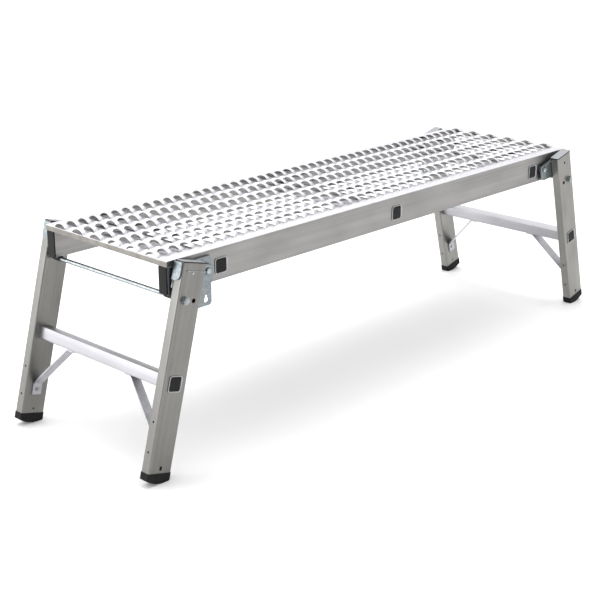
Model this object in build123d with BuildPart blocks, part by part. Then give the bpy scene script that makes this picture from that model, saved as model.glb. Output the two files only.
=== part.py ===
"""Folding aluminium work platform.

Lengths are in millimetres. The origin is on the floor, under the middle of the deck. X runs along the
deck, Y across it and Z up. The object looks the same after half a turn about Z, so each piece of the
left leg frame is modelled once, and the right leg frame is that frame turned round.
"""
import os
from math import cos, radians, sin

from build123d import *

os.makedirs("parts", exist_ok=True)

# ---- deck ----
deck_length = 1500
deck_width = 417
deck_top = 474
sheet = 2.5
end_lip_drop = 14
opening_pitch_x = 32
opening_pitch_y = 63
opening_columns = 46
opening_rows = 6
opening_size = (28, 7)

# ---- deck rails: a box extrusion with a shallow second chamber on top ----
rail_width = 25
rail_bottom = 398
rail_top = deck_top - sheet
rail_wall = 2
rail_face = 206
rail_half_length = 747
plug_head = 3.2
chamber_top = 460

# ---- square cross rungs ----
rung = 30
rung_wall = 2
flare = 37
flare_depth = 2
flare_mouth = 28
cross_rung_x = (-595, 0, 595)
cross_rung_z = 430

# ---- leg frames ----
lean = 15
stile_width = 63
stile_depth = 25
stile_wall = 1.8
stile_length = 456
stile_inner_face = 216
stile_outer_face = stile_inner_face + stile_depth
stile_middle = stile_inner_face + stile_depth / 2
leg_rung_w = 196.5
cap_flange = 3
foot_depth = 22.5

# ---- hinges: the leg frame swings about this point ----
pivot_x = -641
pivot_z = 430
pivot_n = -65
pivot_w = 437
pivot_diameter = 8
fold_angle = 101

# ---- through rod, the stop under the rails ----
rod_diameter = 10
rod_n = 12.5
rod_w = 376.5
sleeve_diameter = 12

# ---- brackets, lock plates and lock pins ----
plate = 3
lock_plate_thickness = 2.5
bracket_inner_face = stile_inner_face - plate
lock_w = 433.5
lock_pin_diameter = 6
lock_pin_gap = 1
fit = 0.05

lean_sin = sin(radians(lean))
lean_cos = cos(radians(lean))


def leg_point(n, w):
    """World X and Z of a point n outwards from the left stile's centre line and w up along it."""
    x = pivot_x - (n - pivot_n) * lean_cos + (w - pivot_w) * lean_sin
    z = pivot_z + (n - pivot_n) * lean_sin + (w - pivot_w) * lean_cos
    return x, z


def leg_side(y):
    """Plane along the left stile's wide face: local X is outwards, local Y is up the stile."""
    x, z = leg_point(0, 0)
    return Plane(origin=(x, y, z), x_dir=(-lean_cos, 0, lean_sin), z_dir=(0, 1, 0))


def leg_section(w, y=-stile_middle):
    """Plane square to the left stile, w up along it."""
    x, z = leg_point(0, w)
    return Plane(origin=(x, y, z), x_dir=(-lean_cos, 0, lean_sin), z_dir=(lean_sin, 0, lean_cos))


def leg_front():
    """Plane of the left leg frame: local X is world Y, local Y is up the stile."""
    x, z = leg_point(0, 0)
    return Plane(origin=(x, 0, z), x_dir=(0, 1, 0), z_dir=(lean_cos, 0, -lean_sin))


def save(solid, name):
    """Label one finished piece and write its STEP file."""
    solid.label = name
    export_step(solid, f"parts/{name}.step")


def save_front_and_back(solid, name):
    """Write a left front piece and its three places in the two leg frames."""
    back = mirror(solid, about=Plane.XZ)
    save(back.rotate(Axis.Z, 180), f"{name}_right_front")
    save(solid.rotate(Axis.Z, 180), f"{name}_right_back")
    save(back, f"{name}_left_back")
    save(solid, f"{name}_left_front")


def save_left_and_right(solid, name):
    """Write a piece of the left leg frame and the same piece of the right one."""
    save(solid.rotate(Axis.Z, 180), f"{name}_right")
    save(solid, f"{name}_left")


# ======== deck ========
with BuildPart() as deck_plate:
    with BuildSketch(Plane.XY.offset(rail_top)):
        Rectangle(deck_length, deck_width)
        with GridLocations(opening_pitch_x, opening_pitch_y, opening_columns, opening_rows):
            SlotOverall(opening_size[0], opening_size[1], rotation=90, mode=Mode.SUBTRACT)
    extrude(amount=sheet)
    with BuildSketch(Plane.XY.offset(deck_top - end_lip_drop)):
        with Locations((deck_length / 2 - sheet / 2, 0), (-deck_length / 2 + sheet / 2, 0)):
            Rectangle(sheet, deck_width)
    extrude(amount=end_lip_drop - sheet)
    outer_bends = deck_plate.edges().filter_by(Axis.Y).group_by(Axis.Z)[-1]
    fillet([bend for bend in outer_bends if abs(bend.center().X) > deck_length / 2 - 1], sheet - 0.5)
save(deck_plate.part, "deck_plate")

rail_middle_z = (rail_bottom + rail_top) / 2
rail_height = rail_top - rail_bottom
lock_x, lock_z = leg_point(0, lock_w)

with BuildPart() as deck_rail:
    with BuildSketch(Plane.YZ):
        with Locations((-rail_face + rail_width / 2, rail_middle_z)):
            RectangleRounded(rail_width, rail_height, 1.5)
        main_height = chamber_top - rail_bottom - 2 * rail_wall
        with Locations((-rail_face + rail_width / 2, rail_bottom + rail_wall + main_height / 2)):
            Rectangle(rail_width - 2 * rail_wall, main_height, mode=Mode.SUBTRACT)
        upper_height = rail_top - rail_wall - chamber_top
        with Locations((-rail_face + rail_width / 2, chamber_top + upper_height / 2)):
            Rectangle(rail_width - 2 * rail_wall, upper_height, mode=Mode.SUBTRACT)
    extrude(amount=rail_half_length, both=True)
    with BuildSketch(Plane.XZ.offset(rail_face - rail_width)):
        with Locations([(x, cross_rung_z) for x in cross_rung_x]):
            Rectangle(rung + 0.4, rung + 0.4)
    extrude(amount=rail_width, mode=Mode.SUBTRACT)
    with BuildSketch(Plane.XZ.offset(rail_face - rail_wall)):
        with Locations((pivot_x, pivot_z), (-pivot_x, pivot_z)):
            Circle(5.6)
        with Locations((lock_x, lock_z)):
            Circle(4)
    extrude(amount=rail_wall, mode=Mode.SUBTRACT)
save(deck_rail.part.rotate(Axis.Z, 180), "deck_rail_back")
save(deck_rail.part, "deck_rail_front")

plug_middle_z = (rail_bottom + chamber_top) / 2
with BuildPart() as rail_plug:
    with BuildSketch(Plane.YZ.offset(-rail_half_length - plug_head)):
        with Locations((-rail_face + rail_width / 2, plug_middle_z)):
            RectangleRounded(rail_width, chamber_top - rail_bottom - 1, 2)
    extrude(amount=plug_head)
    fillet(rail_plug.faces().sort_by(Axis.X)[0].edges(), 0.8)
    with BuildSketch(Plane.YZ.offset(-rail_half_length)):
        with Locations((-rail_face + rail_width / 2, plug_middle_z)):
            Rectangle(rail_width - 2 * rail_wall - 0.2, main_height - 0.4)
            Rectangle(rail_width - 4 * rail_wall, main_height - 4 * rail_wall, mode=Mode.SUBTRACT)
    extrude(amount=16)
save_front_and_back(rail_plug.part, "rail_plug")

for place, x in zip(("left", "middle", "right"), cross_rung_x):
    with BuildPart() as cross_rung:
        with BuildSketch(Plane.XZ):
            with Locations((x, cross_rung_z)):
                RectangleRounded(rung, rung, 3)
                RectangleRounded(rung - 2 * rung_wall, rung - 2 * rung_wall, 1.2, mode=Mode.SUBTRACT)
        extrude(amount=rail_face, both=True)
        with BuildSketch(Plane.XZ.offset(rail_face), Plane.XZ.offset(-rail_face - flare_depth)):
            with Locations((x, cross_rung_z)):
                RectangleRounded(flare, flare, 6)
                RectangleRounded(flare_mouth, flare_mouth, 3, mode=Mode.SUBTRACT)
        extrude(amount=flare_depth)
    save(cross_rung.part, f"cross_rung_{place}")


def rung_plug(head_plane, centre):
    """Plastic plug of one rung end; the plane faces outwards at the tube's end."""
    with BuildPart() as plug:
        with BuildSketch(head_plane):
            with Locations(centre):
                RectangleRounded(flare_mouth - 0.3, flare_mouth - 0.3, 3)
        extrude(amount=flare_depth - 0.6)
        stem = rung - 2 * rung_wall - 0.2
        with BuildSketch(head_plane):
            with Locations(centre):
                RectangleRounded(stem, stem, 1)
        extrude(amount=-12)
    return plug.part


with BuildPart() as cross_rung_plugs:
    for x in cross_rung_x:
        front_plug = rung_plug(Plane.XZ.offset(rail_face), (x, cross_rung_z))
        add(front_plug)
        add(mirror(front_plug, about=Plane.XZ))
save(cross_rung_plugs.part, "cross_rung_plugs")

# ======== pivots, fixed to the rails ========
lock_plate_face = rail_face + lock_plate_thickness
shank_tip = 190

with BuildPart() as pivot_bolt:
    with BuildSketch(Plane.XZ.offset(shank_tip)):
        with Locations((pivot_x, pivot_z)):
            Circle(pivot_diameter / 2)
    extrude(amount=stile_inner_face + 0.3 - shank_tip)
    with BuildSketch(Plane.XZ.offset(stile_inner_face + 0.3)):
        with Locations((pivot_x, pivot_z)):
            Circle(7.5)
    extrude(amount=4.2)
    fillet(pivot_bolt.faces().sort_by(Axis.Y)[0].edges(), 3)
save_front_and_back(pivot_bolt.part, "pivot_bolt")


def pivot_ring(outer_radius, near_face, far_face):
    """Ring round the left front pivot between two distances from the deck's centre line."""
    with BuildPart() as ring:
        with BuildSketch(Plane.XZ.offset(near_face)):
            with Locations((pivot_x, pivot_z)):
                Circle(outer_radius)
                Circle(pivot_diameter / 2 + fit, mode=Mode.SUBTRACT)
        extrude(amount=far_face - near_face)
    return ring.part


locked_spacer = pivot_ring(8, lock_plate_face, bracket_inner_face - 0.3)
plain_spacer = mirror(pivot_ring(8, rail_face, bracket_inner_face - 0.3), about=Plane.XZ)
with BuildPart() as pivot_spacers:
    for spacer in (locked_spacer, plain_spacer):
        add(spacer)
        add(spacer.rotate(Axis.Z, 180))
save(pivot_spacers.part, "pivot_spacers")

front_insert = pivot_ring(5.5, shank_tip, rail_face)
with BuildPart() as pivot_inserts:
    for insert in (front_insert, mirror(front_insert, about=Plane.XZ)):
        add(insert)
        add(insert.rotate(Axis.Z, 180))
save(pivot_inserts.part, "pivot_inserts")

# ======== lock plate: flat on the rail, with a finger-sized ear below it ========
plate_outer_x = -745
plate_inner_x = -626.5
plate_top = 462
plate_bottom = rail_bottom + 0.5
ear_bottom = 350
lip_reach = 6.5
fold_sin = sin(radians(fold_angle))
fold_cos = cos(radians(fold_angle))
from_pivot_x = lock_x - pivot_x
from_pivot_z = lock_z - pivot_z
stow_x = pivot_x + from_pivot_x * fold_cos - from_pivot_z * fold_sin
stow_z = pivot_z + from_pivot_x * fold_sin + from_pivot_z * fold_cos
rivet_places = [(-728, 440), (-728, 410), (-686, 410)]

with BuildPart() as lock_plate:
    with BuildSketch(Plane.XZ.offset(rail_face)) as outline:
        with BuildLine():
            Polyline(
                (plate_outer_x, plate_top),
                (plate_outer_x, plate_bottom),
                (-690, plate_bottom),
                (-675, ear_bottom),
                (plate_inner_x, ear_bottom),
                (plate_inner_x, plate_top),
                close=True,
            )
        make_face()
        fillet(outline.vertices().group_by(Axis.Y)[0], 9)
        fillet(outline.vertices().sort_by(Axis.X)[-1:], 5)
        with Locations((pivot_x, pivot_z)):
            Circle(pivot_diameter / 2 + 0.2, mode=Mode.SUBTRACT)
        with Locations((lock_x, lock_z)):
            Circle(4, mode=Mode.SUBTRACT)
        with BuildSketch(mode=Mode.SUBTRACT):
            with Locations((stow_x, stow_z - 2)):
                Circle(6)
            with Locations((stow_x, stow_z + 7)):
                Circle(3)
            make_hull()
    extrude(amount=lock_plate_thickness)
    with BuildSketch(Plane.XZ.offset(lock_plate_face)):
        lip_length = plate_inner_x - plate_outer_x - 6
        with Locations((plate_outer_x + lip_length / 2, plate_top - lock_plate_thickness / 2)):
            Rectangle(lip_length, lock_plate_thickness)
    extrude(amount=lip_reach - lock_plate_thickness)
save_left_and_right(lock_plate.part, "lock_plate")

with BuildPart() as lock_plate_rivets:
    with BuildSketch(Plane.XZ.offset(lock_plate_face)):
        with Locations(rivet_places):
            Circle(4)
    extrude(amount=1.8)
    fillet(lock_plate_rivets.faces().group_by(Axis.Y)[0].edges(), 1.2)
    add(lock_plate_rivets.part.rotate(Axis.Z, 180))
save(lock_plate_rivets.part, "lock_plate_rivets")

# ======== stiles ========
hole_reach = stile_depth + 2

with BuildPart() as stile:
    with BuildSketch(leg_section(0)):
        RectangleRounded(stile_width, stile_depth, 3)
        inner_width = stile_width - 2 * stile_wall
        inner_depth = stile_depth - 2 * stile_wall
        RectangleRounded(inner_width, inner_depth, 1.2, mode=Mode.SUBTRACT)
    extrude(amount=stile_length)
    with BuildSketch(leg_side(-stile_outer_face - 1)):
        with Locations((rod_n, rod_w), (-rod_n, rod_w)):
            Circle(rod_diameter / 2 + 0.1)
        with Locations((0, lock_w)):
            Circle(lock_pin_diameter / 2 + 0.4)
        with Locations((0, leg_rung_w)):
            Rectangle(rung + 0.4, rung + 0.4)
    extrude(amount=hole_reach, mode=Mode.SUBTRACT)
    with BuildSketch(leg_side(-stile_outer_face - 1)):
        with Locations((0, 11)):
            Rectangle(6.5, 9)
    extrude(amount=1 + stile_wall, mode=Mode.SUBTRACT)
    with BuildSketch(leg_side(-stile_inner_face - stile_wall)):
        with Locations((0, 11)):
            Circle(2.5)
    extrude(amount=stile_wall + 1, mode=Mode.SUBTRACT)
    with BuildSketch(leg_front().offset(-stile_width / 2 - 1)):
        with Locations((-stile_middle, 112), (-stile_middle, 45.5)):
            Circle(2.5)
    extrude(amount=stile_width + 2, mode=Mode.SUBTRACT)
save_front_and_back(stile.part, "stile")

with BuildPart() as stile_cap:
    with BuildSketch(leg_section(stile_length)):
        RectangleRounded(stile_width + 2, stile_depth + 2, 4)
    extrude(amount=cap_flange)
    cap_rim = stile_cap.faces().filter_by(leg_section(0)).sort_by(Axis.Z)[-1].edges()
    fillet(cap_rim, 1)
    with BuildSketch(leg_section(stile_length)):
        RectangleRounded(inner_width - 0.4, inner_depth - 0.4, 1.2)
        Rectangle(inner_width - 8, inner_depth - 6, mode=Mode.SUBTRACT)
    extrude(amount=-14)
save_front_and_back(stile_cap.part, "stile_cap")

# The foot's sole is an arc that touches the floor, whatever the lean.
foot_top_z = leg_point(0, 0)[1]
sole_radius = (foot_top_z - foot_depth * lean_cos) / (1 - lean_cos)
foot_half = stile_width / 2 + 1
sole_edge = sole_radius - foot_depth - (sole_radius**2 - foot_half**2) ** 0.5

with BuildPart() as foot:
    with BuildSketch(leg_side(-stile_outer_face - 1)):
        with BuildLine():
            Polyline((foot_half, sole_edge), (foot_half, 0), (-foot_half, 0), (-foot_half, sole_edge))
            ThreePointArc((-foot_half, sole_edge), (0, -foot_depth), (foot_half, sole_edge))
        make_face()
    extrude(amount=stile_depth + 2)
    standing_edges = foot.edges().filter_by(Axis((0, 0, 0), (lean_sin, 0, lean_cos)))
    fillet(standing_edges, 3.5)
    with BuildSketch(leg_section(0)):
        RectangleRounded(inner_width - 0.4, inner_depth - 0.4, 1.2)
    extrude(amount=22)
save_front_and_back(foot.part, "foot")

# ======== leg rung, braces ========
with BuildPart() as leg_rung:
    with BuildSketch(leg_side(0)):
        with Locations((0, leg_rung_w)):
            RectangleRounded(rung, rung, 3)
            RectangleRounded(rung - 2 * rung_wall, rung - 2 * rung_wall, 1.2, mode=Mode.SUBTRACT)
    extrude(amount=stile_outer_face, both=True)
    with BuildSketch(leg_side(stile_outer_face), leg_side(-stile_outer_face - flare_depth)):
        with Locations((0, leg_rung_w)):
            RectangleRounded(flare, flare, 6)
            RectangleRounded(flare_mouth, flare_mouth, 3, mode=Mode.SUBTRACT)
    extrude(amount=flare_depth)
save_left_and_right(leg_rung.part, "leg_rung")

back_leg_plug = rung_plug(leg_side(stile_outer_face), (0, leg_rung_w))
with BuildPart() as leg_rung_plugs:
    add(back_leg_plug)
    add(mirror(back_leg_plug, about=Plane.XZ))
save_left_and_right(leg_rung_plugs.part, "leg_rung_plugs")

brace_width = 25
brace_under = leg_rung_w - rung / 2 - plate / 2
brace_beside = -stile_inner_face + plate / 2

with BuildPart() as brace:
    with BuildSketch(leg_front()):
        with BuildLine():
            FilletPolyline(
                (-92, brace_under),
                (-113, brace_under),
                (brace_beside, 73),
                (brace_beside, 46),
                radius=5,
            )
        trace(line_width=plate)
    extrude(amount=brace_width / 2, both=True)
save_front_and_back(brace.part, "brace")

with BuildPart() as brace_rivets:
    with BuildSketch(leg_section(brace_under - plate / 2, -101)):
        Circle(4)
    extrude(amount=-2)
    with BuildSketch(leg_side(-bracket_inner_face)):
        with Locations((0, 58)):
            Circle(4)
    extrude(amount=2)
    add(mirror(brace_rivets.part, about=Plane.XZ))
save_left_and_right(brace_rivets.part, "brace_rivets")

# ======== hinge bracket: flat on the stile's inner face, wrapped round its outer edge ========
bracket_half = stile_width / 2
bracket_top = 452
bracket_bottom = 398
ear_reach = 17
wrap_bottom = 416
wrap_reach = 21
bracket_rivet_places = [(-16, 410), (16, 410)]

with BuildPart() as hinge_bracket:
    with BuildSketch(leg_side(-stile_inner_face)) as bracket_outline:
        with BuildLine():
            Polyline(
                (bracket_half, bracket_top),
                (bracket_half, bracket_bottom),
                (-bracket_half, bracket_bottom),
                (-44, 402),
                (pivot_n - ear_reach, 409),
                (pivot_n - ear_reach, bracket_top),
                close=True,
            )
        make_face()
        ear_corners = bracket_outline.vertices().group_by(Axis.X)[0]
        fillet(ear_corners, 13)
        with Locations((pivot_n, pivot_w)):
            Circle(pivot_diameter / 2 + fit, mode=Mode.SUBTRACT)
        with Locations((0, lock_w)):
            Circle(lock_pin_diameter / 2 + fit, mode=Mode.SUBTRACT)
    extrude(amount=plate)
    with BuildSketch(leg_side(-stile_inner_face)):
        with Locations(((pivot_n - bracket_half - 4) / 2, bracket_top - plate / 2)):
            Rectangle(-pivot_n - bracket_half + 3, plate)
    extrude(amount=-5)
    with BuildSketch(leg_front().offset(-bracket_half - 0.3)) as wrap_outline:
        wrap_middle = -bracket_inner_face - (wrap_reach + plate) / 2
        with Locations((wrap_middle, (wrap_bottom + bracket_top + plate) / 2)):
            Rectangle(wrap_reach + plate, bracket_top + plate - wrap_bottom)
        outer_corners = wrap_outline.vertices().group_by(Axis.X)[0].sort_by(Axis.Y)
        fillet(outer_corners[0], 14)
        fillet(outer_corners[-1], 9)
    extrude(amount=-plate)
    with BuildSketch(leg_side(-stile_inner_face)):
        with Locations((bracket_half + plate / 2, (wrap_bottom + bracket_top) / 2)):
            Rectangle(plate, bracket_top - wrap_bottom)
    extrude(amount=plate)
save_front_and_back(hinge_bracket.part, "hinge_bracket")

with BuildPart() as bracket_rivets:
    with BuildSketch(leg_side(-bracket_inner_face)):
        with Locations(bracket_rivet_places):
            Circle(3.5)
    extrude(amount=1.5)
    add(mirror(bracket_rivets.part, about=Plane.XZ))
save_left_and_right(bracket_rivets.part, "bracket_rivets")

# ======== through rod, its nuts and sleeves ========
rod_half_length = 247
washer = 1.5
nut_across_flats = 16
nut_height = 5.5
dome_radius = 6.8

with BuildPart() as through_rod:
    with BuildSketch(leg_side(0)):
        with Locations((rod_n, rod_w)):
            Circle(rod_diameter / 2)
    extrude(amount=rod_half_length, both=True)
save_left_and_right(through_rod.part, "through_rod")

with BuildPart() as rod_nuts:
    with BuildSketch(leg_side(stile_outer_face)):
        with Locations((rod_n, rod_w)):
            Circle(9.5)
    extrude(amount=washer)
    with BuildSketch(leg_side(stile_outer_face + washer)):
        with Locations((rod_n, rod_w)):
            RegularPolygon(nut_across_flats / 2, 6, major_radius=False)
    extrude(amount=nut_height)
    with BuildSketch(leg_side(stile_outer_face + washer + nut_height)):
        with Locations((rod_n, rod_w)):
            Circle(dome_radius)
    extrude(amount=3)
    fillet(rod_nuts.faces().sort_by(Axis.Y)[-1].edges(), 2.5)
    with BuildSketch(leg_side(stile_outer_face)):
        with Locations((rod_n, rod_w)):
            Circle(rod_diameter / 2 + fit)
    extrude(amount=rod_half_length - stile_outer_face + 0.3, mode=Mode.SUBTRACT)
    add(mirror(rod_nuts.part, about=Plane.XZ))
save_left_and_right(rod_nuts.part, "rod_nuts")

with BuildPart() as rod_sleeves:
    with BuildSketch(leg_side(rail_face - rail_width)):
        with Locations((rod_n, rod_w)):
            Circle(sleeve_diameter / 2)
            Circle(rod_diameter / 2 + fit, mode=Mode.SUBTRACT)
    extrude(amount=rail_width)
    add(mirror(rod_sleeves.part, about=Plane.XZ))
save_left_and_right(rod_sleeves.part, "rod_sleeves")

# ======== lock pin, drawn back just clear of the lock plate, and its wire ========
pin_tip = lock_plate_face + lock_pin_gap
pin_head = stile_outer_face - 0.6
collar_face = 226.5

with BuildPart() as lock_pin:
    with BuildSketch(leg_side(-pin_head)):
        with Locations((0, lock_w)):
            Circle(lock_pin_diameter / 2)
    extrude(amount=pin_head - pin_tip)
    chamfer(lock_pin.faces().sort_by(Axis.Y)[-1].edges(), 0.8)
    with BuildSketch(leg_side(-collar_face - 2)):
        with Locations((0, lock_w)):
            Circle(5)
    extrude(amount=2)
save_left_and_right(lock_pin.part, "lock_pin")

wire_radius = 1.1
wire_y = -stile_outer_face - wire_radius - 0.05
wire_w = lock_w + 5.5

with BuildPart() as lock_wire:
    with BuildSketch(leg_front().offset(stile_width / 2 + 0.2)):
        with Locations((wire_y, wire_w)):
            Circle(wire_radius)
    extrude(amount=-stile_width * 0.82)
    with BuildSketch(leg_side(wire_y)):
        with Locations((-stile_width / 2 - wire_radius - 0.1, wire_w)):
            Circle(wire_radius)
    extrude(amount=14)
save_left_and_right(lock_wire.part, "lock_wire")
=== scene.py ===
"""Folding aluminium work platform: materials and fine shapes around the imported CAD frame.

Lengths are in metres, in the CAD frame: origin on the floor under the middle of the deck, X along the
deck, Y across it, Z up.
"""
from math import cos, pi, radians, sin

import bpy
import numpy as np
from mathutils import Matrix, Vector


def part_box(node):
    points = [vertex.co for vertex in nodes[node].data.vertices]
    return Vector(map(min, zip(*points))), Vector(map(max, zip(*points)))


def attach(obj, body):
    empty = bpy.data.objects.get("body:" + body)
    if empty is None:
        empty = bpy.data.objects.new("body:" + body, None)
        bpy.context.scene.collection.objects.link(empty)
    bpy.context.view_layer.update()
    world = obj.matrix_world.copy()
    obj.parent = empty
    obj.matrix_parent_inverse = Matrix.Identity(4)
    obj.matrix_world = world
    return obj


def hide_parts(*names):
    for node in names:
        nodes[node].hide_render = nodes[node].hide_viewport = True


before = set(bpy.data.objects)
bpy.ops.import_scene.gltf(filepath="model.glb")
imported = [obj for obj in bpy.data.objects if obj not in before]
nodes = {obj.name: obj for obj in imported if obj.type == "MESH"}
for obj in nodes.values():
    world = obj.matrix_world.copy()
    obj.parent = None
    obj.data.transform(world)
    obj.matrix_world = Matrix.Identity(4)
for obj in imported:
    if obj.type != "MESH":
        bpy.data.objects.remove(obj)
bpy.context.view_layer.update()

MM = 0.001
LEAN = radians(15)
LEAN_SIGN = {"left": 1, "right": -1}


# ======== node materials ========
class Shader:
    """Small helper that builds one node material."""

    def __init__(self, name):
        self.material = bpy.data.materials.new(name)
        self.material.use_nodes = True
        self.tree = self.material.node_tree
        self.surface = self.tree.nodes["Principled BSDF"]
        self.place = self.node("ShaderNodeTexCoord").outputs["Object"]

    def node(self, kind, **settings):
        made = self.tree.nodes.new(kind)
        for key, value in settings.items():
            setattr(made, key, value)
        return made

    def link(self, source, target):
        self.tree.links.new(source, target)

    def fixed(self, **values):
        for key, value in values.items():
            self.surface.inputs[key.replace("_", " ")].default_value = value

    def stretched(self, size, turn=0.0):
        """Coordinates turned about Y, in which one unit is `size` metres along each axis."""
        mapping = self.node("ShaderNodeMapping", vector_type="TEXTURE")
        mapping.inputs["Rotation"].default_value = (0, turn, 0)
        mapping.inputs["Scale"].default_value = size
        self.link(self.place, mapping.inputs["Vector"])
        return mapping.outputs["Vector"]

    def noise(self, size, turn=0.0, detail=2.0, roughness=0.5):
        texture = self.node("ShaderNodeTexNoise")
        texture.inputs["Scale"].default_value = 1.0
        texture.inputs["Detail"].default_value = detail
        texture.inputs["Roughness"].default_value = roughness
        self.link(self.stretched(size, turn), texture.inputs["Vector"])
        return texture.outputs["Fac"]

    def cells(self, size, turn=0.0):
        texture = self.node("ShaderNodeTexVoronoi", feature="F1")
        texture.inputs["Scale"].default_value = 1.0
        self.link(self.stretched(size, turn), texture.inputs["Vector"])
        grey = self.node("ShaderNodeRGBToBW")
        self.link(texture.outputs["Color"], grey.inputs["Color"])
        return grey.outputs["Val"]

    def ranged(self, value, low, high, start=0.3, stop=0.7):
        change = self.node("ShaderNodeMapRange")
        change.inputs["From Min"].default_value = start
        change.inputs["From Max"].default_value = stop
        change.inputs["To Min"].default_value = low
        change.inputs["To Max"].default_value = high
        self.link(value, change.inputs["Value"])
        return change.outputs["Result"]

    def ramp(self, value, dark, light, start=0.3, stop=0.7):
        ramp = self.node("ShaderNodeValToRGB")
        first, last = ramp.color_ramp.elements
        first.position, last.position = start, stop
        first.color, last.color = (*dark, 1), (*light, 1)
        self.link(value, ramp.inputs["Fac"])
        return ramp.outputs["Color"]

    def average(self, first, second, share):
        mix = self.node("ShaderNodeMix", data_type="FLOAT")
        mix.inputs["Factor"].default_value = share
        self.link(first, mix.inputs["A"])
        self.link(second, mix.inputs["B"])
        return mix.outputs["Result"]

    def bump(self, height, strength, distance):
        bump = self.node("ShaderNodeBump")
        bump.inputs["Strength"].default_value = strength
        bump.inputs["Distance"].default_value = distance
        self.link(height, bump.inputs["Height"])
        self.link(bump.outputs["Normal"], self.surface.inputs["Normal"])

    def colour(self, source):
        self.link(source, self.surface.inputs["Base Color"])

    def rough(self, source):
        self.link(source, self.surface.inputs["Roughness"])


def drawn_aluminium(name, along, turn, dark, light, low=0.30, high=0.48):
    """Extruded or drawn aluminium; die lines run along the axis number `along`, after a turn about Y."""
    shader = Shader(name)
    fine, broad, cloud = [0.0012] * 3, [0.009] * 3, [0.05] * 3
    fine[along], broad[along], cloud[along] = 0.6, 1.4, 0.12
    lines = shader.noise(fine, turn, detail=3.0)
    bands = shader.noise(broad, turn, detail=2.0)
    clouds = shader.noise(cloud, turn, detail=3.0)
    streaks = shader.average(lines, bands, 0.45)
    look = shader.average(streaks, clouds, 0.35)
    shader.colour(shader.ramp(look, dark, light, 0.36, 0.64))
    shader.rough(shader.ranged(look, high, low, 0.36, 0.64))
    shader.bump(lines, 0.25, 0.00008)
    shader.fixed(Metallic=1.0)
    return shader.material


def pressed_sheet(name, dark, light):
    """Bright aluminium sheet with the faint grain and rubbing of a pressed anti-slip deck."""
    shader = Shader(name)
    grain = shader.noise((0.05, 0.0015, 0.0015), detail=3.0)
    blotch = shader.noise((0.02, 0.02, 0.02), detail=4.0)
    look = shader.average(grain, blotch, 0.6)
    shader.colour(shader.ramp(look, dark, light, 0.36, 0.64))
    shader.rough(shader.ranged(look, 0.54, 0.38, 0.36, 0.64))
    shader.bump(blotch, 0.2, 0.0002)
    shader.fixed(Metallic=1.0)
    return shader.material


def zinc_plate(name, dark, light, low, high):
    """Zinc-plated steel: a bluish sheen with soft spangle and small scuffs."""
    shader = Shader(name)
    spangle = shader.cells((0.006, 0.006, 0.006))
    scuffs = shader.noise((0.012, 0.003, 0.012), detail=4.0, roughness=0.6)
    look = shader.average(spangle, scuffs, 0.6)
    shader.colour(shader.ramp(look, dark, light, 0.25, 0.75))
    shader.rough(shader.ranged(look, high, low, 0.25, 0.75))
    shader.bump(scuffs, 0.2, 0.0001)
    shader.fixed(Metallic=1.0)
    return shader.material


def moulded(name, dark, light, low, high, grain, depth, gloss=0.2):
    """Moulded black plastic or rubber with a fine leathery grain."""
    shader = Shader(name)
    pores = shader.noise((grain,) * 3, detail=3.0, roughness=0.6)
    dust = shader.noise((0.03,) * 3, detail=4.0, roughness=0.6)
    shader.colour(shader.ramp(dust, dark, light, 0.4, 0.75))
    shader.rough(shader.ranged(dust, low, high, 0.35, 0.7))
    shader.bump(pores, 0.5, depth)
    shader.fixed(Specular_IOR_Level=gloss)
    return shader.material


def sheen_painted_cap(name):
    """Black plastic with a grey sheen painted on the faces that point up (painted reflection), mixed with a
    little random wear.
    """
    shader = Shader(name)
    facing = shader.node("ShaderNodeSeparateXYZ")
    shader.link(shader.node("ShaderNodeTexCoord").outputs["Normal"], facing.inputs["Vector"])
    wear = shader.noise((0.01, 0.01, 0.01), detail=4.0)
    # painted reflection: faces pointing up are coloured grey; a small share of random wear noise is mixed in
    top_sheen_mask = shader.ranged(facing.outputs["Z"], 0.0, 1.0, 0.75, 0.9)
    wear_and_painted_sheen = shader.average(wear, top_sheen_mask, 0.8)
    shader.colour(shader.ramp(wear_and_painted_sheen, (0.006, 0.006, 0.006), (0.24, 0.25, 0.26), 0.2, 0.9))
    shader.rough(shader.ranged(wear, 0.28, 0.42))
    shader.bump(wear, 0.3, 0.00008)
    shader.fixed(Specular_IOR_Level=0.4)
    return shader.material


RAIL_DARK, RAIL_LIGHT = (0.255, 0.25, 0.245), (0.315, 0.31, 0.302)
# both leg frames are one aluminium in lit and shaded copies: the near (left) stiles are painted darker as
# shade, the far (right) stiles lighter as painted light
NEAR_STILE_SHADED_DARK, NEAR_STILE_SHADED_LIGHT = (0.195, 0.192, 0.182), (0.235, 0.231, 0.220)
FAR_STILE_LIT_DARK, FAR_STILE_LIT_LIGHT = (0.235, 0.231, 0.220), (0.285, 0.281, 0.268)
TUBE_DARK, TUBE_LIGHT = (0.36, 0.36, 0.38), (0.46, 0.46, 0.485)

rail_metal = drawn_aluminium("rail_aluminium", 0, 0.0, RAIL_DARK, RAIL_LIGHT)
stile_metal = {
    "left": drawn_aluminium("stile_aluminium_left_painted_shade", 2, LEAN, NEAR_STILE_SHADED_DARK, NEAR_STILE_SHADED_LIGHT),
    "right": drawn_aluminium("stile_aluminium_right_painted_light", 2, -LEAN, FAR_STILE_LIT_DARK, FAR_STILE_LIT_LIGHT),
}
tube_metal = drawn_aluminium("tube_aluminium", 1, 0.0, TUBE_DARK, TUBE_LIGHT)
brace_metal = drawn_aluminium("brace_aluminium", 1, 0.0, TUBE_DARK, TUBE_LIGHT)
sheet_metal = pressed_sheet("deck_sheet_aluminium", (0.54, 0.535, 0.562), (0.68, 0.675, 0.705))
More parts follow.
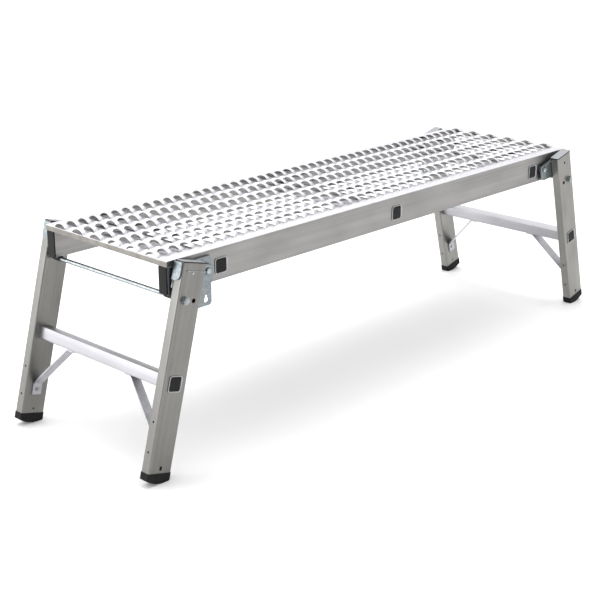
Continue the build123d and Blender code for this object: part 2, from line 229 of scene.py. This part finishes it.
# painted shade: the sheet's underside is the same aluminium coloured much darker, so the nose mouths read
# dark
underside_painted_shade_metal = pressed_sheet("deck_underside_painted_shade", (0.23, 0.227, 0.218), (0.33, 0.326, 0.312))
# painted shade: the end lips are the same sheet coloured darker and warmer, as if turned away from the light
lip_painted_shade_metal = pressed_sheet("deck_lip_painted_shade", (0.20, 0.19, 0.175), (0.27, 0.258, 0.24))
plate_metal = zinc_plate("zinc_plate", (0.18, 0.205, 0.215), (0.26, 0.29, 0.305), 0.28, 0.42)
bright_metal = zinc_plate("bright_zinc", (0.26, 0.285, 0.30), (0.42, 0.45, 0.46), 0.20, 0.36)
plastic = moulded("black_moulded_plastic", (0.004,) * 3, (0.011,) * 3, 0.42, 0.6, 0.0008, 0.00006)
cap_plastic = sheen_painted_cap("black_cap_plastic")
rubber = moulded("black_rubber_grain", (0.005,) * 3, (0.016,) * 3, 0.6, 0.8, 0.0012, 0.0001)


def dress(node, material):
    """Give every material slot of a CAD node one procedural material."""
    for place in nodes[node].material_slots:
        place.material = material


FINISH_BY_NAME = [
    ("deck_rail", rail_metal),
    ("rail_plug", plastic),
    ("lock_plate_rivets", bright_metal),
    ("lock_plate", plate_metal),
    ("pivot_bolt", bright_metal),
    ("pivot_spacers", bright_metal),
    ("pivot_inserts", plate_metal),
    ("stile_cap", cap_plastic),
    ("foot", rubber),
    ("brace_rivets", bright_metal),
    ("brace", brace_metal),
    ("hinge_bracket", plate_metal),
    ("bracket_rivets", bright_metal),
    ("through_rod", bright_metal),
    ("rod_nuts", bright_metal),
    ("rod_sleeves", plastic),
    ("lock_pin", bright_metal),
    ("lock_wire", bright_metal),
]

for name in sorted(nodes):
    if name.startswith("stile_left") or name.startswith("stile_right"):
        dress(name, stile_metal[name.split("_")[1]])
        continue
    for start, finish in FINISH_BY_NAME:
        if name.startswith(start):
            dress(name, finish)
            break


# ======== meshes ========
def piece(name, points, faces, material, body, replaced, sharp=radians(35)):
    """One smooth-shaded mesh that stands for CAD nodes and rides on their body."""
    mesh = bpy.data.meshes.new(name)
    mesh.from_pydata([tuple(point) for point in points], [], [tuple(face) for face in faces])
    mesh.materials.append(material)
    mesh.shade_smooth()
    mesh.set_sharp_from_angle(angle=sharp)
    made = bpy.data.objects.new(name, mesh)
    bpy.context.scene.collection.objects.link(made)
    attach(made, body)
    if replaced:
        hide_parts(*replaced)
    return made


# ---- deck sheet: rows of pressed half-dome noses, and smaller rows between that open the other way ----
PITCH = 32 * MM
STEPS = 12
BIG_ROWS = 6
BIG_ROW_WIDTH = 41 * MM
SMALL_ROW_WIDTH = 22 * MM
BIG_NOSE = {"half": 20.3 * MM, "length": 23 * MM, "height": 10.8 * MM}
SMALL_NOSE = {"half": 10.8 * MM, "length": 16 * MM, "height": 6.0 * MM}
SHEET = 1.2 * MM
BEND_RADIUS = 2 * MM
FIRST_MOUTH = 2.4 * MM
ROUNDNESS = 0.62
TOP_DROP = 1.0 * MM
BEND_TURNS = 4
# material slots for the painted shade on the sheet's underside and on its end lips
UNDERSIDE_SHADE_SLOT, LIP_SHADE_SLOT = 1, 2


def nose_height(nose, behind, across):
    """Height of a pressed nose, from distances behind its mouth and off its middle."""
    if behind > nose["length"]:
        return 0.0
    radius = (across / nose["half"]) ** 2 + (behind / nose["length"]) ** 2
    return nose["height"] * max(0.0, 1 - radius) ** ROUNDNESS


def deck_lines(low, high):
    """Lengthwise lines of the sheet's grid, each with the row that starts at it.

    A row is its middle, its nose and whether it is a big one, or None where the sheet is flat.
    """
    middle = (low + high) / 2
    rows = []
    edge = middle - (BIG_ROWS * BIG_ROW_WIDTH + (BIG_ROWS - 1) * SMALL_ROW_WIDTH) / 2
    for index in range(2 * BIG_ROWS - 1):
        big = index % 2 == 0
        width = BIG_ROW_WIDTH if big else SMALL_ROW_WIDTH
        rows.append((edge, width, BIG_NOSE if big else SMALL_NOSE, big))
        edge += width
    lines = [(low, None), ((low + rows[0][0]) / 2, None)]
    for edge, width, nose, big in rows:
        # lines crowd towards a nose's ends, where its mouth is steepest
        count = 16 if big else 10
        half = nose["half"] / (width / 2)
        parts = [-1.0] + [-half * cos(pi * step / count) for step in range(count + 1)]
        lines += [(edge + width / 2 * (1 + part), (edge + width / 2, nose, big)) for part in parts]
    last = rows[-1][0] + rows[-1][1]
    lines += [(last, None), ((last + high) / 2, None), (high, None)]
    return lines


def bend_path(edge, out, reach, top, bottom):
    """Points from the flat sheet round the end bend and down the lip, as (x, z)."""
    base = reach - out * BEND_RADIUS
    path = [(edge, top)]
    if abs(base - edge) > 1e-5:
        path.append((base, top))
    for turn in range(1, BEND_TURNS + 1):
        angle = pi / 2 * turn / BEND_TURNS
        path.append((base + out * BEND_RADIUS * sin(angle), top - BEND_RADIUS * (1 - cos(angle))))
    path.append((reach, bottom))
    return path


def deck_sheet():
    low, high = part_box("deck_plate")
    step = PITCH / STEPS
    top = high.z - TOP_DROP
    mouth = low.x + FIRST_MOUTH
    # columns lie at whole steps from the first mouth, so both kinds of row share them
    first = int(np.ceil((low.x + BEND_RADIUS - mouth) / step))
    last = int(np.floor((high.x - BEND_RADIUS - mouth) / step))
    columns = [mouth + step * column for column in range(first, last + 1)]
    lines = deck_lines(low.y, high.y)
    points, faces, index_of = [], [], {}

    def vertex(x, y, z):
        key = (round(x, 6), round(y, 6), round(z, 6))
        if key not in index_of:
            index_of[key] = len(points)
            points.append((x, y, z))
        return index_of[key]

    def height(column, y, row, side):
        """Height over the flat sheet; side is -1 or +1 for the two edges of a mouth's slit."""
        if row is None:
            return 0.0
        centre, nose, big = row
        phase = (column + first) % STEPS if big else (STEPS // 2 - column - first) % STEPS
        if phase == 0 and side == (-1 if big else 1):
            return 0.0
        return nose_height(nose, phase * step, y - centre)

    for (y0, row), (y1, _) in zip(lines, lines[1:]):
        for column in range(len(columns) - 1):
            corners = []
            for at, y, side in ((0, y0, 1), (1, y0, -1), (1, y1, -1), (0, y1, 1)):
                z = top + height(column + at, y, row, side)
                corners.append(vertex(columns[column + at], y, z))
            faces.append(corners)
    lip_start = len(faces)
    for edge, out, reach in ((columns[0], -1, low.x), (columns[-1], 1, high.x)):
        path = bend_path(edge, out, reach, top, low.z)
        for (y0, _), (y1, _) in zip(lines, lines[1:]):
            for (x0, z0), (x1, z1) in zip(path, path[1:]):
                corners = [vertex(x0, y0, z0), vertex(x1, y0, z1), vertex(x1, y1, z1), vertex(x0, y1, z0)]
                faces.append(corners if out > 0 else corners[::-1])
    made = piece("deck_tread_sheet", points, faces, sheet_metal, "deck", ["deck_plate"])
    made.data.materials.append(underside_painted_shade_metal)
    made.data.materials.append(lip_painted_shade_metal)
    # faces below the bend take the painted-shade lip colour
    for face in made.data.polygons[lip_start:]:
        if face.center.z < top - BEND_RADIUS / 2:
            face.material_index = LIP_SHADE_SLOT
    # the solidified bottom faces take the painted-shade underside colour
    solid = made.modifiers.new("thickness", "SOLIDIFY")
    solid.thickness = SHEET
    solid.offset = -1
    solid.material_offset = UNDERSIDE_SHADE_SLOT
    settle(made)


def settle(made, sharp=radians(35)):
    """Apply a piece's modifiers."""
    bpy.context.view_layer.update()
    graph = bpy.context.evaluated_depsgraph_get()
    mesh = bpy.data.meshes.new_from_object(made.evaluated_get(graph))
    made.modifiers.clear()
    made.data = mesh
    mesh.shade_smooth()
    mesh.set_sharp_from_angle(angle=sharp)


deck_sheet()


# ---- square rungs with rolled, flared ends ----
def rounded_square(half, radius, corner_steps=5):
    """Outline of a rounded square, as (across, up) pairs."""
    outline = []
    for quarter in range(4):
        middle = pi / 4 + quarter * pi / 2
        cx = (half - radius) * (1 if cos(middle) > 0 else -1)
        cz = (half - radius) * (1 if sin(middle) > 0 else -1)
        for step in range(corner_steps + 1):
            angle = quarter * pi / 2 + pi / 2 * step / corner_steps
            outline.append((cx + radius * cos(angle), cz + radius * sin(angle)))
    return outline


def rung_tube(node, body, turn, face):
    """Tube with a rolled flare outside each `face`."""
    low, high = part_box(node)
    cx, cz = (low.x + high.x) / 2, (low.z + high.z) / 2
    # half-size, corner radius and distance past the face, in millimetres
    flare_profile = [
        (15.0, 3.0, -2.0), (15.1, 3.1, -0.3), (15.8, 3.9, 0.05), (17.3, 5.8, 0.1), (18.25, 6.8, 0.5),
        (18.5, 7.1, 1.1), (18.35, 7.0, 1.8), (17.9, 6.6, 2.25), (17.2, 6.1, 2.3), (16.5, 5.5, 2.0),
        (16.0, 5.1, 1.3), (15.6, 4.8, 0.5), (15.0, 4.0, 0.2), (13.4, 2.2, 0.0), (13.0, 1.3, -4.0),
        (13.0, 1.3, -12.0),
    ]
    profile = [(h, r, -(face + y * MM)) for h, r, y in reversed(flare_profile)]
    profile += [(h, r, face + y * MM) for h, r, y in flare_profile]
    points, faces = [], []
    for half, radius, y in profile:
        for across, up in rounded_square(half * MM, radius * MM):
            x = across * cos(turn) + up * sin(turn)
            z = -across * sin(turn) + up * cos(turn)
            points.append((cx + x, y, cz + z))
    count = len(rounded_square(1, 0.1))
    rings = len(profile)
    for ring in range(rings):
        after = (ring + 1) % rings
        for at in range(count):
            nxt = (at + 1) % count
            faces.append((ring * count + at, ring * count + nxt, after * count + nxt, after * count + at))
    return piece(f"{node}_flared", points, faces, tube_metal, body, [node], radians(50))


RAIL_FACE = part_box("deck_rail_back")[1].y
STILE_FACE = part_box("stile_left_back")[1].y
for place in ("left", "middle", "right"):
    rung_tube(f"cross_rung_{place}", "deck", 0.0, RAIL_FACE)
for side in ("left", "right"):
    rung_tube(f"leg_rung_{side}", f"leg_frame_{side}", LEAN * LEAN_SIGN[side], STILE_FACE)


# ---- plugs in the rung ends, with a field of small dimples ----
# millimetres, like the profiles below
DIMPLE_PITCH = 4.2
DIMPLE_DEPTH = 0.6
PLUG_HEAD = 1.15


def plug_surface(centre_x, centre_z, face, way, turn):
    """One plug head: rounded-square rings that close in to a small middle, pressed with small dimples."""
    # half-size, corner radius and distance past the face, in millimetres; None where dimples set it
    rings = [(12.8, 1.3, -9.0), (12.8, 1.3, 0.25), (15.35, 4.6, 0.3), (15.35, 4.6, 0.75), (15.0, 4.4, 1.05)]
    rings += [(half, max(0.29 * half, 0.05), None) for half in np.linspace(14.6, 0.35, 30)]
    points, faces = [], []
    steps = 11
    for half, radius, fixed in rings:
        for across, up in rounded_square(half, radius, steps):
            if fixed is None:
                wave_across = max(0.0, cos(2 * pi * across / DIMPLE_PITCH))
                wave_up = max(0.0, cos(2 * pi * up / DIMPLE_PITCH))
                out = PLUG_HEAD - DIMPLE_DEPTH * (wave_across * wave_up)
            else:
                out = fixed
            x = across * cos(turn) + up * sin(turn)
            z = -across * sin(turn) + up * cos(turn)
            points.append((centre_x + x * MM, way * (face + out * MM), centre_z + z * MM))
    count = 4 * (steps + 1)
    for ring in range(len(rings) - 1):
        for at in range(count):
            nxt = (at + 1) % count
            quad = (ring * count + at, ring * count + nxt, (ring + 1) * count + nxt, (ring + 1) * count + at)
            faces.append(quad if way < 0 else quad[::-1])
    inner = [(len(rings) - 1) * count + at for at in range(count)]
    outer = list(range(count))
    faces.append(inner if way < 0 else inner[::-1])
    faces.append(outer[::-1] if way < 0 else outer)
    return points, faces


def plugs(name, places, body, face, turn, replaced):
    """Plug heads at both ends of the rungs whose middles are `places`."""
    points, faces = [], []
    for x, z in places:
        for way in (-1, 1):
            more, quads = plug_surface(x, z, face, way, turn)
            offset = len(points)
            points += more
            faces += [[offset + index for index in quad] for quad in quads]
    return piece(name, points, faces, plastic, body, replaced, radians(60))


def middle_of(node):
    low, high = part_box(node)
    return (low.x + high.x) / 2, (low.z + high.z) / 2


plugs(
    "cross_rung_plugs_dimpled",
    [middle_of(f"cross_rung_{place}") for place in ("left", "middle", "right")],
    "deck", RAIL_FACE, 0.0, ["cross_rung_plugs"],
)
for side in ("left", "right"):
    plugs(
        f"leg_rung_plugs_{side}_dimpled",
        [middle_of(f"leg_rung_{side}")],
        f"leg_frame_{side}", STILE_FACE, LEAN * LEAN_SIGN[side], [f"leg_rung_plugs_{side}"],
    )


# ======== floor, light, camera ========
def floor():
    reach = 30
    corners = [(-reach, -reach, 0), (reach, -reach, 0), (reach, reach, 0), (-reach, reach, 0)]
    mesh = bpy.data.meshes.new("floor")
    mesh.from_pydata(corners, [], [(0, 1, 2, 3)])
    made = bpy.data.objects.new("floor", mesh)
    bpy.context.scene.collection.objects.link(made)
    shader = Shader("pale_floor")
    tone = shader.noise((0.8, 0.8, 0.8), detail=2.0)
    shader.colour(shader.ramp(tone, (0.90, 0.90, 0.90), (0.93, 0.93, 0.93)))
    shader.fixed(Roughness=0.8)
    mesh.materials.append(shader.material)


def softbox(name, place, aim, size, power):
    light = bpy.data.lights.new(name, "AREA")
    light.shape = "RECTANGLE"
    light.size, light.size_y = size
    light.energy = power
    made = bpy.data.objects.new(name, light)
    bpy.context.scene.collection.objects.link(made)
    made.location = place
    direction = Vector(aim) - Vector(place)
    made.rotation_mode = "QUATERNION"
    made.rotation_quaternion = direction.to_track_quat("-Z", "Y")


def studio_light(tree):
    """Even studio light, stronger from above and from behind the platform than from in front."""
    backdrop = tree.nodes["Background"]
    place = tree.nodes.new("ShaderNodeTexCoord")
    split = tree.nodes.new("ShaderNodeSeparateXYZ")
    tree.links.new(place.outputs["Generated"], split.inputs["Vector"])

    def ranged(value, stop_low, stop_high, low, high):
        change = tree.nodes.new("ShaderNodeMapRange")
        change.interpolation_type = "SMOOTHSTEP"
        change.inputs["From Min"].default_value = stop_low
        change.inputs["From Max"].default_value = stop_high
        change.inputs["To Min"].default_value = low
        change.inputs["To Max"].default_value = high
        tree.links.new(value, change.inputs["Value"])
        return change.outputs["Result"]

    rise = ranged(split.outputs["Z"], 0.05, 0.75, 0.66, 1.5)
    side = ranged(split.outputs["Y"], -0.6, 0.6, 0.82, 1.25)
    product = tree.nodes.new("ShaderNodeMath")
    product.operation = "MULTIPLY"
    tree.links.new(rise, product.inputs[0])
    tree.links.new(side, product.inputs[1])
    tree.links.new(product.outputs["Value"], backdrop.inputs["Strength"])
    backdrop.inputs["Color"].default_value = (1.0, 1.0, 1.0, 1)


floor()
world = bpy.data.worlds.new("studio")
bpy.context.scene.world = world
world.use_nodes = True
studio_light(world.node_tree)
softbox("overhead_softbox", (0.4, 0.6, 3.0), (0, 0, 0.4), (2.6, 1.6), 40)
softbox("left_softbox", (-3.2, 2.2, 1.1), (-0.4, 0, 0.3), (2.2, 1.6), 34)

CAMERA_PLACE = (-2.38975, -2.14206, 1.26221)
CAMERA_TURN = (radians(70.91), 0, radians(-46.53))
lens = bpy.data.cameras.new("camera")
lens.lens = 76.87
lens.sensor_width = 36
lens.clip_start, lens.clip_end = 0.05, 100
camera = bpy.data.objects.new("camera", lens)
camera.location = CAMERA_PLACE
camera.rotation_euler = CAMERA_TURN
bpy.context.scene.collection.objects.link(camera)
bpy.context.scene.camera = camera
bpy.context.scene.view_settings.view_transform = "Standard"
